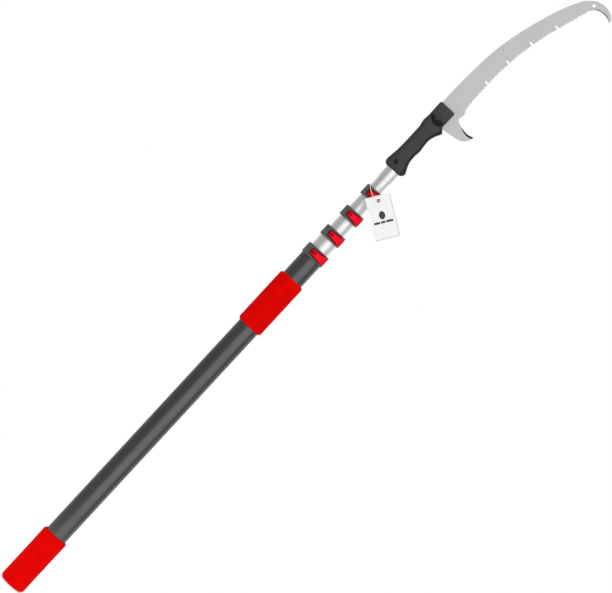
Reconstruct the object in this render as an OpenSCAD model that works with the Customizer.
// Telescoping pole saw: five nested tubes with flip locks, and a hooked pruning blade.
// Frame: the pole's axis is +Z, its closed bottom end is at z = 0, the blade lies in
// the XZ plane with its teeth towards +X, and the lock levers face -Y.

/* [Tubes] */
// Outside diameter of the main tube
main_od = 42.5; // [42.2:0.1:42.7]
// Wall of the main tube
main_wall = 1.5; // [1.2:0.1:1.6]
// Wall of the four inner tubes
inner_wall = 1.2; // [1:0.1:1.3]
// Outside diameter of tube 2
tube_2_od = 36; // [35.6:0.1:36.2]
// Outside diameter of tube 3
tube_3_od = 31; // [30.6:0.1:31.2]
// Outside diameter of tube 4
tube_4_od = 27.5; // [27.2:0.1:27.6]
// Outside diameter of tube 5
tube_5_od = 24.5; // [24.2:0.1:24.6]

/* [Grips] */
// Outside diameter of both foam grips
grip_od = 51.5; // [50:0.5:54]
// Height of the closed lower grip
lower_grip_h = 120; // [90:5:160]
// Height at which the upper grip starts
upper_grip_z = 630; // [560:10:640]
// Height of the upper grip
upper_grip_h = 116; // [90:2:130]
// Rounding of the grips' rims
grip_round = 5; // [2:0.5:7]

/* [Locks] */
// Height of the middle of the first lock collar
first_collar_z = 806.8; // [800:0.2:810]
// Distance from the first collar to the second
collar_pitch = 45.8; // [44:0.2:48]
// How much longer each further distance between collars is
collar_pitch_step = 3.4; // [2:0.2:4]
// Height of a lock collar
collar_h = 21.2; // [20.6:0.2:22]
// Outside diameter of collar 1
collar_1_od = 47; // [46.6:0.2:48]
// Outside diameter of collar 2
collar_2_od = 42.4; // [42:0.2:43]
// Outside diameter of collar 3
collar_3_od = 38.4; // [38:0.2:39]
// Outside diameter of collar 4
collar_4_od = 34; // [33.6:0.2:34.6]
// Height of a lever at its knuckle
lever_h = 17; // [15:0.5:17]
// Height of a lever at its free end
lever_tip_h = 12; // [8:0.5:13]
// Thickness of a lever's arm
lever_t = 3.4; // [3:0.1:3.6]
// Radius of a lever pin
pin_r = 1.5; // [1.2:0.1:1.6]

/* [Saw head] */
// Height at which the handle starts
handle_z = 1012.5; // [1011:0.5:1013]
// Thickness of the blade
blade_t = 1.6; // [1.2:0.1:2]
// Pitch of the teeth
tooth_pitch = 4.2; // [3.6:0.2:5]
// Depth of the teeth
tooth_depth = 2.4; // [1.8:0.1:2.8]
// Radius of the hanging hole near the blade's tip
hang_hole_r = 3; // [2.5:0.1:3.2]

/* [Tag] */
// Width of the card tag
tag_w = 45; // [40:1:50]
// Length of the card tag
tag_l = 78.8; // [70:0.2:85]
// Diameter of the string
string_d = 1.2; // [1:0.1:1.3]

/* [Hidden] */

$fn = 96;
eps = 0.01;
slip = 0.3;        // radial room between pieces that slide on each other
snug = 0.05;       // radial room between pieces that are fixed together
grip_floor = 5;    // thickness of the lower grip's closed end
plug_flange = 3;
plug_depth = 22;
plug_wall = 3;
stack_z = 31;      // where the bottom end of section 2 rests
stack_step = 8;    // each further section rests this much higher
bush_h = 22;
bush_floor = 3;
bush_wall_min = 0.5;   // a bush has an outer wall only where there is this much room

tube_od = [main_od, tube_2_od, tube_3_od, tube_4_od, tube_5_od];
tube_r = [for (d = tube_od) d / 2];
tube_ir = [for (i = [0:4]) tube_r[i] - (i == 0 ? main_wall : inner_wall)];
collar_r = [for (d = [collar_1_od, collar_2_od, collar_3_od, collar_4_od]) d / 2];
collar_z = [for (i = [0:3])
    first_collar_z + i * collar_pitch + i * (i - 1) / 2 * collar_pitch_step];
sleeve_z = 989;
sleeve_top = 1030;
sleeve_r = 13.5;
tube_5_top = 1033;
tube_bottom = [for (i = [0:4])
    i == 0 ? grip_floor + plug_flange + snug : stack_z + (i - 1) * stack_step + bush_floor];
tube_top = [for (i = [0:4]) i == 4 ? tube_5_top : collar_z[i] - 2];

// Flip locks. The lever turns on a pin parallel to the pole, at the front right.
pin_x = [20, 19.2, 18.6, 16.2];      // the pins' distance to the right of the axis
knuckle_r = 3;
// How far each pin's centre is from the pole's axis
pin_reach = [tube_r[0] + 3.95, tube_r[1] + 3.7, tube_r[2] + 5.5, tube_r[3] + 4.55];
pin_y = [for (i = [0:3]) -sqrt(pow(pin_reach[i], 2) - pow(pin_x[i], 2))];
pin_angle = [for (i = [0:3]) atan2(pin_y[i], pin_x[i])];
lever_r = [for (r = pin_reach) r + knuckle_r];     // a lever's outer face
lever_end = -114;                                  // angle of a lever's free end
housing_end = -135;                                // angle where a collar's housing ends
housing_proud = 0.9;                               // how far a lever stands out of its housing
lever_corner = 3;                                  // rounding of a lever's free end
knuckle_corner = 1.4;                              // rounding of its hinged end
notch_w = 9;
notch_h = 2.4;
notch_depth = 2;

module ring_plan(outer, inner) {
    difference() {
        circle(r = outer);
        circle(r = inner);
    }
}

module ring(outer, inner, low, high) {
    translate([0, 0, low]) difference() {
        cylinder(r = outer, h = high - low);
        translate([0, 0, -1]) cylinder(r = inner, h = high - low + 2);
    }
}

// A sector of the plane from angle a round to angle b, less than half a turn
module wedge(a, b, reach = 80) {
    steps = 6;
    polygon([[0, 0], for (k = [0:steps]) let (t = a + (b - a) * k / steps)
        reach * [cos(t), sin(t)]]);
}

// A cross hole along Y at height z and distance x from the axis
module cross_hole(x, z, r, from = -40, to = 40) {
    translate([x, from, z]) rotate([-90, 0, 0]) cylinder(r = r, h = to - from, $fn = 48);
}

// ---- main pole ----

module main_tube() {
    color([0.25, 0.25, 0.26])
        ring(tube_r[0], tube_ir[0], tube_bottom[0], tube_top[0]);
}

module end_plug() {
    color([0.12, 0.12, 0.12]) difference() {
        union() {
            translate([0, 0, grip_floor]) cylinder(r = tube_r[0], h = plug_flange);
            translate([0, 0, grip_floor + plug_flange - eps])
                cylinder(r = tube_ir[0] - snug, h = plug_depth + eps);
        }
        translate([0, 0, grip_floor + plug_flange])
            cylinder(r = tube_ir[0] - plug_wall, h = plug_depth + 1);
    }
}

// The half section of a grip, with rounded rims outside and a bore inside from floor_h up
module grip_section(h, bore, floor_h) {
    r = grip_od / 2;
    difference() {
        union() {
            translate([0, grip_round]) square([r, h - 2 * grip_round]);
            square([r - grip_round, h]);
            for (z = [grip_round, h - grip_round])
                translate([r - grip_round, z]) circle(r = grip_round, $fn = 64);
        }
        translate([-1, floor_h]) square([bore + 1, h + 2]);
    }
}

module lower_grip() {
    color([0.87, 0.02, 0.01])
        rotate_extrude() intersection() {
            grip_section(lower_grip_h, tube_r[0] + snug, grip_floor);
            square([grip_od, lower_grip_h]);
        }
}

module upper_grip() {
    color([0.87, 0.02, 0.01]) translate([0, 0, upper_grip_z])
        rotate_extrude() intersection() {
            grip_section(upper_grip_h, tube_r[0] + snug, -1);
            square([grip_od, upper_grip_h]);
        }
}

// ---- flip locks, i from 0 for the lowest ----

// The front view of a lever: full height at the knuckle, narrower at the free end. With
// room it is open towards the knuckle's side.
module lever_front(i, room = 0) {
    tip_x = lever_r[i] * cos(lever_end);
    full_x = pin_x[i] - 6;
    end_x = pin_x[i] + knuckle_r - knuckle_corner;
    tip_y = lever_tip_h / 2 - lever_corner;
    half = lever_h / 2 + room;
    hull() {
        for (y = [-tip_y, tip_y]) translate([tip_x + lever_corner, y])
            circle(r = lever_corner + room, $fn = 32);
        translate([full_x, -half]) square([1, 2 * half]);
        if (room > 0) translate([60, -half]) square([1, 2 * half]);
        else for (y = [knuckle_corner - half, half - knuckle_corner]) translate([end_x, y])
            circle(r = knuckle_corner, $fn = 32);
    }
}

// The plan of a lever: an arm round the pole, and a knuckle round the pin
module lever_plan(i, room = 0) {
    intersection() {
        difference() {
            circle(r = lever_r[i] + room);
            circle(r = lever_r[i] - lever_t - room);
        }
        wedge(lever_end - 12, pin_angle[i]);
    }
    translate([pin_x[i], pin_y[i]]) circle(r = knuckle_r + room, $fn = 48);
}

module lock_lever(i) {
    color([0.98, 0.07, 0.16]) difference() {
        intersection() {
            translate([0, 0, collar_z[i] - lever_h / 2])
                linear_extrude(lever_h) lever_plan(i);
            translate([0, 0, collar_z[i]]) rotate([90, 0, 0])
                linear_extrude(60) lever_front(i);
        }
        translate([pin_x[i], pin_y[i], collar_z[i] - collar_h])
            cylinder(r = pin_r + 0.08, h = 2 * collar_h, $fn = 48);
        // finger notch near the free end
        translate([0, 0, collar_z[i] - notch_h / 2]) linear_extrude(notch_h) intersection() {
            ring_plan(lever_r[i] + 1, lever_r[i] - notch_depth);
            translate([lever_r[i] * cos(lever_end) + 2.5, -lever_r[i] - 1])
                square([notch_w, lever_r[i]]);
        }
    }
}

module lever_pin(i) {
    color([0.72, 0.73, 0.74])
        translate([pin_x[i], pin_y[i], collar_z[i] - collar_h / 2 + 0.4])
        cylinder(r = pin_r, h = collar_h - 0.8, $fn = 48);
}

// The plan of a collar with its front housing, which stops just inside the levers' faces
module collar_plan(i) {
    circle(r = collar_r[i]);
    intersection() {
        circle(r = lever_r[i] - housing_proud);
        wedge(housing_end, pin_angle[i]);
    }
    translate([pin_x[i], pin_y[i]]) circle(r = knuckle_r - 0.2, $fn = 48);
}

module lock_collar(i) {
    low = collar_z[i] - collar_h / 2;
    high = collar_z[i] + collar_h / 2;
    sliding_r = tube_r[i + 1] + slip;
    color([0.29, 0.30, 0.29]) difference() {
        translate([0, 0, low]) linear_extrude(collar_h) collar_plan(i);
        // seat of the outer tube, then the guide ring's seat, then the mouth
        translate([0, 0, low - 1])
            cylinder(r = tube_r[i] + snug, h = tube_top[i] - low + 1 + snug);
        translate([0, 0, tube_top[i]])
            cylinder(r = ring_r(i) + snug, h = high - 2 - tube_top[i]);
        translate([0, 0, low]) cylinder(r = sliding_r + 0.2, h = collar_h + 1);
        lever_room(i);
        // the pin's hole through both cheeks
        translate([pin_x[i], pin_y[i], low - 1])
            cylinder(r = pin_r + 0.02, h = collar_h + 2, $fn = 48);
        pad_room(i, snug);
        rivet_holes(i, rivet_r + snug);
    }
}

// The room that a lever needs in its collar, closed and while it swings open
module lever_room(i) {
    intersection() {
        translate([0, 0, collar_z[i] - lever_h / 2 - slip])
            linear_extrude(lever_h + 2 * slip) union() {
            intersection() {
                difference() {
                    circle(r = lever_r[i] + 20);
                    circle(r = lever_r[i] - lever_t - slip);
                }
                wedge(housing_end + 2, pin_angle[i]);
            }
            translate([pin_x[i], pin_y[i]]) circle(r = knuckle_r + slip, $fn = 48);
            translate([pin_x[i], pin_y[i]]) wedge(pin_angle[i] - 90, pin_angle[i] + 40, 20);
        }
        translate([0, 0, collar_z[i]]) rotate([90, 0, 0]) translate([0, 0, -20])
            linear_extrude(80) lever_front(i, slip);
    }
}

// The guide ring fills the collar's mouth above the end of the outer tube
function ring_r(i) = min(tube_r[i] - 0.2, collar_r[i] - 1.4);

module guide_ring(i) {
    high = collar_z[i] + collar_h / 2 - 2 - snug;
    color([0.16, 0.16, 0.16]) difference() {
        ring(ring_r(i), tube_r[i + 1] + slip, tube_top[i] + snug, high);
        pad_room(i, snug);
        // the split at the back
        translate([-0.8, 0, tube_top[i]]) cube([1.6, 60, collar_h]);
    }
}

// The brake pad slides in a window between the knuckle and the inner tube
pad_w = 6;
pad_h = 7;
function pad_low(i) = tube_top[i] + 0.8;

module pad_room(i, room) {
    rotate([0, 0, pin_angle[i]])
        translate([tube_r[i + 1] - 1, -pad_w / 2 - room, pad_low(i) - room])
        cube([pin_reach[i] - tube_r[i + 1], pad_w + 2 * room, pad_h + 2 * room]);
}

module brake_pad(i) {
    color([0.1, 0.1, 0.1]) intersection() {
        pad_room(i, 0);
        rotate([0, 0, pin_angle[i]]) difference() {
            translate([0, 0, pad_low(i)]) cylinder(r = pin_reach[i], h = pad_h);
            translate([0, 0, pad_low(i) - 1]) cylinder(r = tube_r[i + 1] + slip, h = pad_h + 2);
            translate([pin_reach[i], 0, pad_low(i) - 1])
                cylinder(r = knuckle_r + slip, h = pad_h + 2, $fn = 48);
        }
    }
}

// Two blind rivets at the back hold a collar on its tube
rivet_r = 1.2;
rivet_head_r = 2.2;
rivet_angles = [75, 105];
function rivet_z(i) = collar_z[i] - collar_h / 2 + 4.2;

module rivet_holes(i, r) {
    for (a = rivet_angles) rotate([0, 0, a]) translate([0, 0, rivet_z(i)])
        rotate([0, 90, 0]) cylinder(r = r, h = 40, $fn = 32);
}

module collar_rivets(i) {
    color([0.7, 0.7, 0.7])
        for (a = rivet_angles) rotate([0, 0, a]) translate([0, 0, rivet_z(i)])
            rotate([0, 90, 0]) {
                translate([0, 0, tube_r[i] + 2 * snug])
                    cylinder(r = rivet_r, h = collar_r[i] - tube_r[i], $fn = 32);
                translate([0, 0, collar_r[i] + snug])
                    cylinder(r1 = rivet_head_r, r2 = 1.5, h = 0.9, $fn = 32);
            }
}

// ---- inner sections, i from 1 for tube 2 ----

module inner_tube(i) {
    color([0.85, 0.86, 0.87]) difference() {
        ring(tube_r[i], tube_ir[i], tube_bottom[i], tube_top[i]);
        if (i == 4) cross_hole(screw_x, screw_z, screw_r + snug);
    }
}

// The plug in the bottom end of an inner tube, which guides it in the tube outside it
module guide_bush(i) {
    low = tube_bottom[i] - bush_floor;
    outer = tube_ir[i - 1] - slip;
    inner = tube_r[i] + snug;
    color([0.14, 0.14, 0.14]) {
        translate([0, 0, low]) cylinder(r = outer, h = bush_floor - snug);
        translate([0, 0, low])
            cylinder(r = tube_ir[i] - snug, h = stack_step - slip);
        if (outer - inner > bush_wall_min)
            ring(outer, inner, low + bush_floor - snug - eps, low + bush_h);
    }
}

// ---- saw head ----

screw_x = -7.2;
screw_z = 1027;
screw_r = 2;
screw_head = [3.8, 2.2];     // radius and thickness
screw_under = 13.7;          // how far the undersides of the head and the nut are from the XZ plane
screw_seat_r = 4.7;
screw_nut = [7, 2.2];        // across flats and thickness
bolt_x = -4.5;
bolt_z = 1137;
bolt_r = 3;
bolt_head = [5, 2.8];
bolt_under = 11.5;
bolt_seat_r = 5.6;
bolt_nut = [10, 3];
bolt_nut_seat_r = 6.6;
spigot_bottom = 960;
tongue = [-13, 5, tube_5_top + 2, 1112];     // x from, x to, z from, z to
tongue_t = 10;
tang_bolt_x = (tongue[0] + tongue[1]) / 2;
tang_bolt_z = 1086;
nut_slack = 0.03;

// The handle's outline and depth from bottom to top: [z, left x, right x, half depth]
handle_rings = [
    [0, -15.5, 12, 13.8], [2.5, -19.5, 16.2, 15.6], [8.5, -22.5, 20.6, 17],
    [14.5, -22.1, 19.1, 16.8], [22, -21.4, 15.4, 15.6], [31, -20.3, 12.5, 14.2],
    [44, -19.6, 11.5, 13.4], [58, -19.3, 12.6, 13.6], [72, -19.3, 11.3, 13.4],
    [81, -19.4, 10.8, 13], [90, -19.4, 12.4, 12.8], [98, -20.4, 15.4, 12.6],
    [107.5, -21.7, 20, 12.5], [113, -21.2, 16.2, 13.2], [118, -20.7, 12.6, 14.6]
];
handle_sides = 32;
block = [-20.7, 12.6, 1126, 1162.4];        // the front block: x from, x to, z from, z to
block_depth = 14.6;
block_round = 3.2;

// A rounded cross-section: a superellipse between two x and of the given half depth
function oval(x0, x1, depth, n = 2.6) = [for (k = [0:handle_sides - 1])
    let (t = 360 * (k + 0.5) / handle_sides, c = cos(t), s = sin(t))
    [(x0 + x1) / 2 + (x1 - x0) / 2 * sign(c) * pow(abs(c), 2 / n),
     depth * sign(s) * pow(abs(s), 2 / n)]];

// A closed solid through rings of points, each with the same number of points
module loft(rings) {
    n = len(rings[0]);
    last = len(rings) - 1;
    points = [for (ring = rings) for (p = ring) p];
    sides = [for (j = [0:last - 1]) for (k = [0:n - 1]) let (m = (k + 1) % n)
        each [[j * n + k, (j + 1) * n + m, j * n + m],
              [j * n + k, (j + 1) * n + k, (j + 1) * n + m]]];
    polyhedron(points, concat([[for (k = [0:n - 1]) k]], sides,
        [[for (k = [n - 1:-1:0]) last * n + k]]));
}

module block_plan(x0, x1, y, r) {
    translate([x0 + r, -y]) square([x1 - x0 - 2 * r, 2 * y]);
    translate([x0, -y + r]) square([x1 - x0, 2 * y - 2 * r]);
    for (x = [x0 + r, x1 - r]) for (s = [-1, 1])
        translate([x, s * (y - r)]) circle(r = r, $fn = 32);
}

module handle_solid() {
    loft([for (h = handle_rings) [for (p = oval(h[1], h[2], h[3]))
        [p[0], p[1], handle_z + h[0]]]]);
    translate([0, 0, block[2]]) linear_extrude(block[3] - block[2])
        block_plan(block[0], block[1], block_depth, block_round);
}

// One half of the handle. side is -1 for the front half and 1 for the back half
module handle_half(side) {
    difference() {
        intersection() {
            handle_solid();
            translate([-50, side < 0 ? -50 : snug, handle_z - 1]) cube([100, 50 - snug, 200]);
        }
        translate([0, 0, handle_z - 2])
            cylinder(r = sleeve_r + snug, h = sleeve_top + snug - handle_z + 2);
        translate([0, 0, sleeve_top - 1])
            cylinder(r = tube_r[4] + snug, h = tongue[2] + snug + 1 - sleeve_top);
        tongue_solid(snug);
        blade_plate(snug);
        cross_hole(screw_x, screw_z, screw_r + snug);
        cross_hole(bolt_x, bolt_z, bolt_r + snug);
        // seats of the heads at the front and of the nuts at the back
        if (side < 0) {
            cross_hole(screw_x, screw_z, screw_seat_r, to = snug - screw_under);
            cross_hole(bolt_x, bolt_z, bolt_seat_r, to = snug - bolt_under);
        } else {
            cross_hole(screw_x, screw_z, screw_seat_r, from = screw_under - snug);
            cross_hole(bolt_x, bolt_z, bolt_nut_seat_r, from = bolt_under - snug);
        }
    }
}

module handle_front() {
    color([0.2, 0.2, 0.2]) handle_half(-1);
}

module handle_back() {
    color([0.2, 0.2, 0.2]) handle_half(1);
}

module tube_sleeve() {
    color([0.83, 0.84, 0.85]) difference() {
        ring(sleeve_r, tube_r[4] + snug, sleeve_z, sleeve_top);
        cross_hole(screw_x, screw_z, screw_r + snug);
    }
}

module tongue_solid(room) {
    translate([tongue[0] - room, -tongue_t / 2 - room, tongue[2] - room])
        cube([tongue[1] - tongue[0] + 2 * room, tongue_t + 2 * room,
              tongue[3] - tongue[2] + 2 * room]);
}

// The spigot in the top of tube 5, with a slotted tongue that holds the tang
module mount_spigot() {
    color([0.6, 0.61, 0.62]) difference() {
        union() {
            translate([0, 0, spigot_bottom])
                cylinder(r = tube_ir[4] - snug, h = tongue[2] - spigot_bottom);
            intersection() {
                translate([0, 0, tongue[2] - 1]) cylinder(r = 30, h = 100);
                tongue_solid(0);
            }
        }
        blade_plate(snug);
        cross_hole(screw_x, screw_z, screw_r + snug);
        cross_hole(tang_bolt_x, tang_bolt_z, bolt_r + snug);
    }
}

// A screw along Y, with its head at the front. head is [radius, thickness], and the
// undersides of the head and the nut are both at the distance under from the XZ plane
module cross_screw(x, z, r, head, under, nut) {
    difference() {
        union() {
            cross_hole(x, z, r, -under - eps, under + nut[1]);
            cross_hole(x, z, head[0], -under - head[1], -under);
        }
        // hex socket
        translate([x, -under - head[1] - 1, z]) rotate([-90, 0, 0])
            cylinder(r = head[0] * 0.5, h = head[1] * 0.6 + 1, $fn = 6);
    }
}

// A hexagonal nut along Y. nut is [across flats, thickness]
module cross_nut(x, z, r, nut, under) {
    difference() {
        translate([x, under, z]) rotate([-90, 0, 0])
            cylinder(r = nut[0] / 2 / cos(30), h = nut[1], $fn = 6);
        cross_hole(x, z, r + nut_slack);
    }
}

module handle_screw() {
    color([0.12, 0.12, 0.12])
        cross_screw(screw_x, screw_z, screw_r, screw_head, screw_under, screw_nut);
}

module handle_nut() {
    color([0.6, 0.6, 0.6]) cross_nut(screw_x, screw_z, screw_r, screw_nut, screw_under);
}

module blade_bolt() {
    color([0.1, 0.1, 0.1])
        cross_screw(bolt_x, bolt_z, bolt_r, bolt_head, bolt_under, bolt_nut);
}

module blade_nut() {
    color([0.6, 0.6, 0.6]) cross_nut(bolt_x, bolt_z, bolt_r, bolt_nut, bolt_under);
}

// The lower tang bolt, hidden under the shells
module tang_bolt() {
    color([0.6, 0.6, 0.6])
        cross_hole(tang_bolt_x, tang_bolt_z, bolt_r, -tongue_t / 2, tongue_t / 2);
}

// The blade's back edge from the block up to the hook's tip, as [x, z]
back_edge = [
    [-18, 1160], [-18, 1206], [-16, 1248], [-12.5, 1290], [-5, 1332], [5, 1370],
    [16, 1405], [29.5, 1440], [38, 1457], [46, 1470.5], [57, 1481], [65, 1486],
    [76, 1488.8], [86, 1488.8], [95, 1486], [101, 1482.2], [105.2, 1477], [106.6, 1471.5]
];
// The inside of the tip hook, back from its tip
hook_edge = [[99, 1475], [90, 1476.6], [81, 1475.8], [74, 1473.3], [70.4, 1470.6]];
// The line of the teeth, from the hook down to the heel
tooth_line = [
    [70.4, 1470.6], [65.9, 1462.5], [59.6, 1444.5], [52.2, 1421], [45.6, 1399.5],
    [41.4, 1387], [35.2, 1362], [31.4, 1344], [26.1, 1317], [23.4, 1288], [21.6, 1275],
    [21.2, 1238], [21.4, 1206], [22.4, 1186], [26.6, 1172]
];
// The hook knife at the base: its inside, its tip and its outside
knife_edge = [
    [24, 1162.6], [26.1, 1159.2], [30.6, 1156.1], [36, 1153.9], [45, 1152], [54, 1151.2],
    [61.2, 1152.9], [67.1, 1154.4], [65.4, 1149.3], [63, 1143], [59.4, 1138.5], [54, 1134.6],
    [45, 1131.7], [36, 1130.4], [27, 1129], [16, 1127.8]
];
// The tang, inside the block and the handle
tang_edge = [[4, 1127.8], [3, 1110], [1, 1072], [-9, 1070], [-11, 1110], [-17, 1130]];
gullet_z = [1243, 1296, 1349.5, 1402];      // deep notches that clear the dust
gullet_w = 3.6;
gullet_depth = 8.5;
hang_hole = [64.8, 1476.2];                 // x and z
first_tooth = 12;                           // how far along the line the teeth start

function seg_len(p, k) = norm(p[k + 1] - p[k]);
function run_len(p, k) = k == 0 ? 0 : run_len(p, k - 1) + seg_len(p, k - 1);
// The point at distance s along the open line p, looking from segment k
function along(p, s, k = 0) =
    k >= len(p) - 2 || s <= seg_len(p, k)
    ? p[k] + (p[k + 1] - p[k]) * min(s / seg_len(p, k), 1)
    : along(p, s - seg_len(p, k), k + 1);
function unit(v) = v / norm(v);
// The teeth cut from the line: each has a point and a root behind it, sloped to cut on the pull
teeth = let (total = run_len(tooth_line, len(tooth_line) - 1),
    count = floor((total - first_tooth - 4) / tooth_pitch))
    [for (k = [0:count - 1]) let (s = first_tooth + k * tooth_pitch,
        tip = along(tooth_line, s + tooth_pitch * 0.62), root = along(tooth_line, s),
        dir = unit(along(tooth_line, s + 1) - along(tooth_line, s - 1)),
        inward = [dir[1], -dir[0]])
        each [root + inward * tooth_depth, tip]];
blade_outline = concat(back_edge, hook_edge, teeth, [tooth_line[len(tooth_line) - 1]],
    knife_edge, tang_edge);

module gullets() {
    for (z = gullet_z) let (p = tooth_at(z)) translate(p) {
        translate([-gullet_depth + gullet_w / 2, 0]) circle(r = gullet_w / 2, $fn = 24);
        translate([-gullet_depth + gullet_w / 2, -gullet_w / 2]) square([30, gullet_w]);
    }
}

// The point of the tooth line at height z
function tooth_at(z, k = 0) = tooth_line[k + 1][1] <= z
    ? let (a = tooth_line[k], b = tooth_line[k + 1], t = (a[1] - z) / (a[1] - b[1])) a + (b - a) * t
    : tooth_at(z, k + 1);

// The blade's plate without its holes, grown by room on each side
module blade_plate(room) {
    translate([0, blade_t / 2 + room, 0]) rotate([90, 0, 0])
        linear_extrude(blade_t + 2 * room) polygon(blade_outline);
}

module blade() {
    color([0.76, 0.76, 0.77]) difference() {
        translate([0, blade_t / 2, 0]) rotate([90, 0, 0]) linear_extrude(blade_t)
            difference() {
                polygon(blade_outline);
                gullets();
            }
        cross_hole(hang_hole[0], hang_hole[1], hang_hole_r);
        cross_hole(bolt_x, bolt_z, bolt_r + snug);
        cross_hole(tang_bolt_x, tang_bolt_z, bolt_r + snug);
    }
}

// ---- hang tag ----

tag_hole = [18, 953.1];            // x and z of the hole's centre
tag_turn = 56.6;                   // how far the card leans from hanging straight down
tag_hole_in = 9.4;                 // from the card's top edge to the hole's centre
tag_front = -40;
tag_t = 0.5;
tag_round = 1.5;
eyelet_r = 3.1;
eyelet_bore = 2;
eyelet_rim = 0.25;

// Puts a flat shape, drawn hanging down from the hole, in the card's plane
module in_card(from, thick) {
    translate([tag_hole[0], from + thick, tag_hole[1]]) rotate([90, -tag_turn, 0])
        linear_extrude(thick) children();
}

module card_plan() {
    x = tag_w / 2 - tag_round;
    low = tag_hole_in - tag_l + tag_round;
    high = tag_hole_in - tag_round;
    translate([-x, low - tag_round]) square([2 * x, tag_l]);
    translate([-x - tag_round, low]) square([tag_w, high - low]);
    for (px = [-x, x]) for (pz = [low, high]) translate([px, pz]) circle(r = tag_round, $fn = 32);
}

module hang_tag() {
    color([0.93, 0.93, 0.93]) in_card(tag_front, tag_t) difference() {
        card_plan();
        circle(r = eyelet_bore + 0.35, $fn = 48);
    }
}

module tag_eyelet() {
    color([0.75, 0.75, 0.76]) {
        in_card(tag_front - eyelet_rim - snug, eyelet_rim) difference() {
            circle(r = eyelet_r, $fn = 48);
            circle(r = eyelet_bore, $fn = 48);
        }
        in_card(tag_front + tag_t + snug, eyelet_rim) difference() {
            circle(r = eyelet_r, $fn = 48);
            circle(r = eyelet_bore, $fn = 48);
        }
        in_card(tag_front - eyelet_rim - snug, tag_t + 2 * eyelet_rim + 2 * snug) difference() {
            circle(r = eyelet_bore + 0.3, $fn = 48);
            circle(r = eyelet_bore, $fn = 48);
        }
    }
}

// The string's route, from the knot behind tube 5, round its left side, forward and down to the
// tag's hole, and back behind the card to the tube's right side
string_route = [
    [1.5, 14.2, 966.3], [-5, 13.2, 966.3], [-10.5, 9.4, 966.3], [-13.6, 3, 966.3],
    [-14.2, -5, 966.3], [-14.1, -14, 966.4], [-13.6, -22, 966.3], [-12.9, -30, 965.8],
    [-11.6, -36.8, 963.8], [-8.6, -40.4, 960.8], [-3.5, -41.4, 956.6], [2, -41.5, 953.6],
    [7, -41.5, 952.2], [11.5, -41.4, 951.6], [15.6, -41.2, 952.2], [18, -39.7, 953.1],
    [18.3, -38.5, 955.6], [17.8, -38.2, 960.2], [17, -36.8, 964.4], [16, -32, 966.6],
    [15.2, -24, 967],
    [14.6, -14, 966.8], [14.2, -4, 966.4], [13.4, 4, 966.3], [10.2, 9.8, 966.3],
    [5, 13.2, 966.3], [2.6, 14.2, 966.3]
];
string_sides = 8;
string_steps = 3;                  // rings in each stretch between two route points

// A smooth curve through the route's points
function smooth(a, b, c, d, t) = b + 0.5 * t * (c - a + t * (2 * a - 5 * b + 4 * c - d
    + t * (3 * (b - c) + d - a)));
function route_line(p, steps) = let (last = len(p) - 1)
    [for (k = [0:last - 1]) for (j = [0:steps - 1])
        smooth(p[max(k - 1, 0)], p[k], p[k + 1], p[min(k + 2, last)], j / steps), p[last]];

// A ring of points round each point of a line, square to the line there
function rings_along(p, r, sides) = let (last = len(p) - 1)
    [for (k = [0:last]) let (dir = unit(p[min(k + 1, last)] - p[max(k - 1, 0)]),
        u = unit(cross(dir, abs(dir[2]) < 0.9 ? [0, 0, 1] : [0, 1, 0])), v = cross(dir, u))
        [for (a = [0:sides - 1]) p[k] + r * (cos(360 * a / sides) * u + sin(360 * a / sides) * v)]];

module tag_string() {
    color([0.95, 0.85, 0.86])
        loft(rings_along(route_line(string_route, string_steps), string_d / 2, string_sides));
}

main_tube();
end_plug();
lower_grip();
upper_grip();
for (i = [0:3]) {
    lock_collar(i);
    lock_lever(i);
    lever_pin(i);
    brake_pad(i);
    guide_ring(i);
    collar_rivets(i);
    inner_tube(i + 1);
    guide_bush(i + 1);
}
tube_sleeve();
mount_spigot();
handle_front();
handle_back();
handle_screw();
handle_nut();
blade();
blade_bolt();
blade_nut();
tang_bolt();
hang_tag();
tag_eyelet();
tag_string();
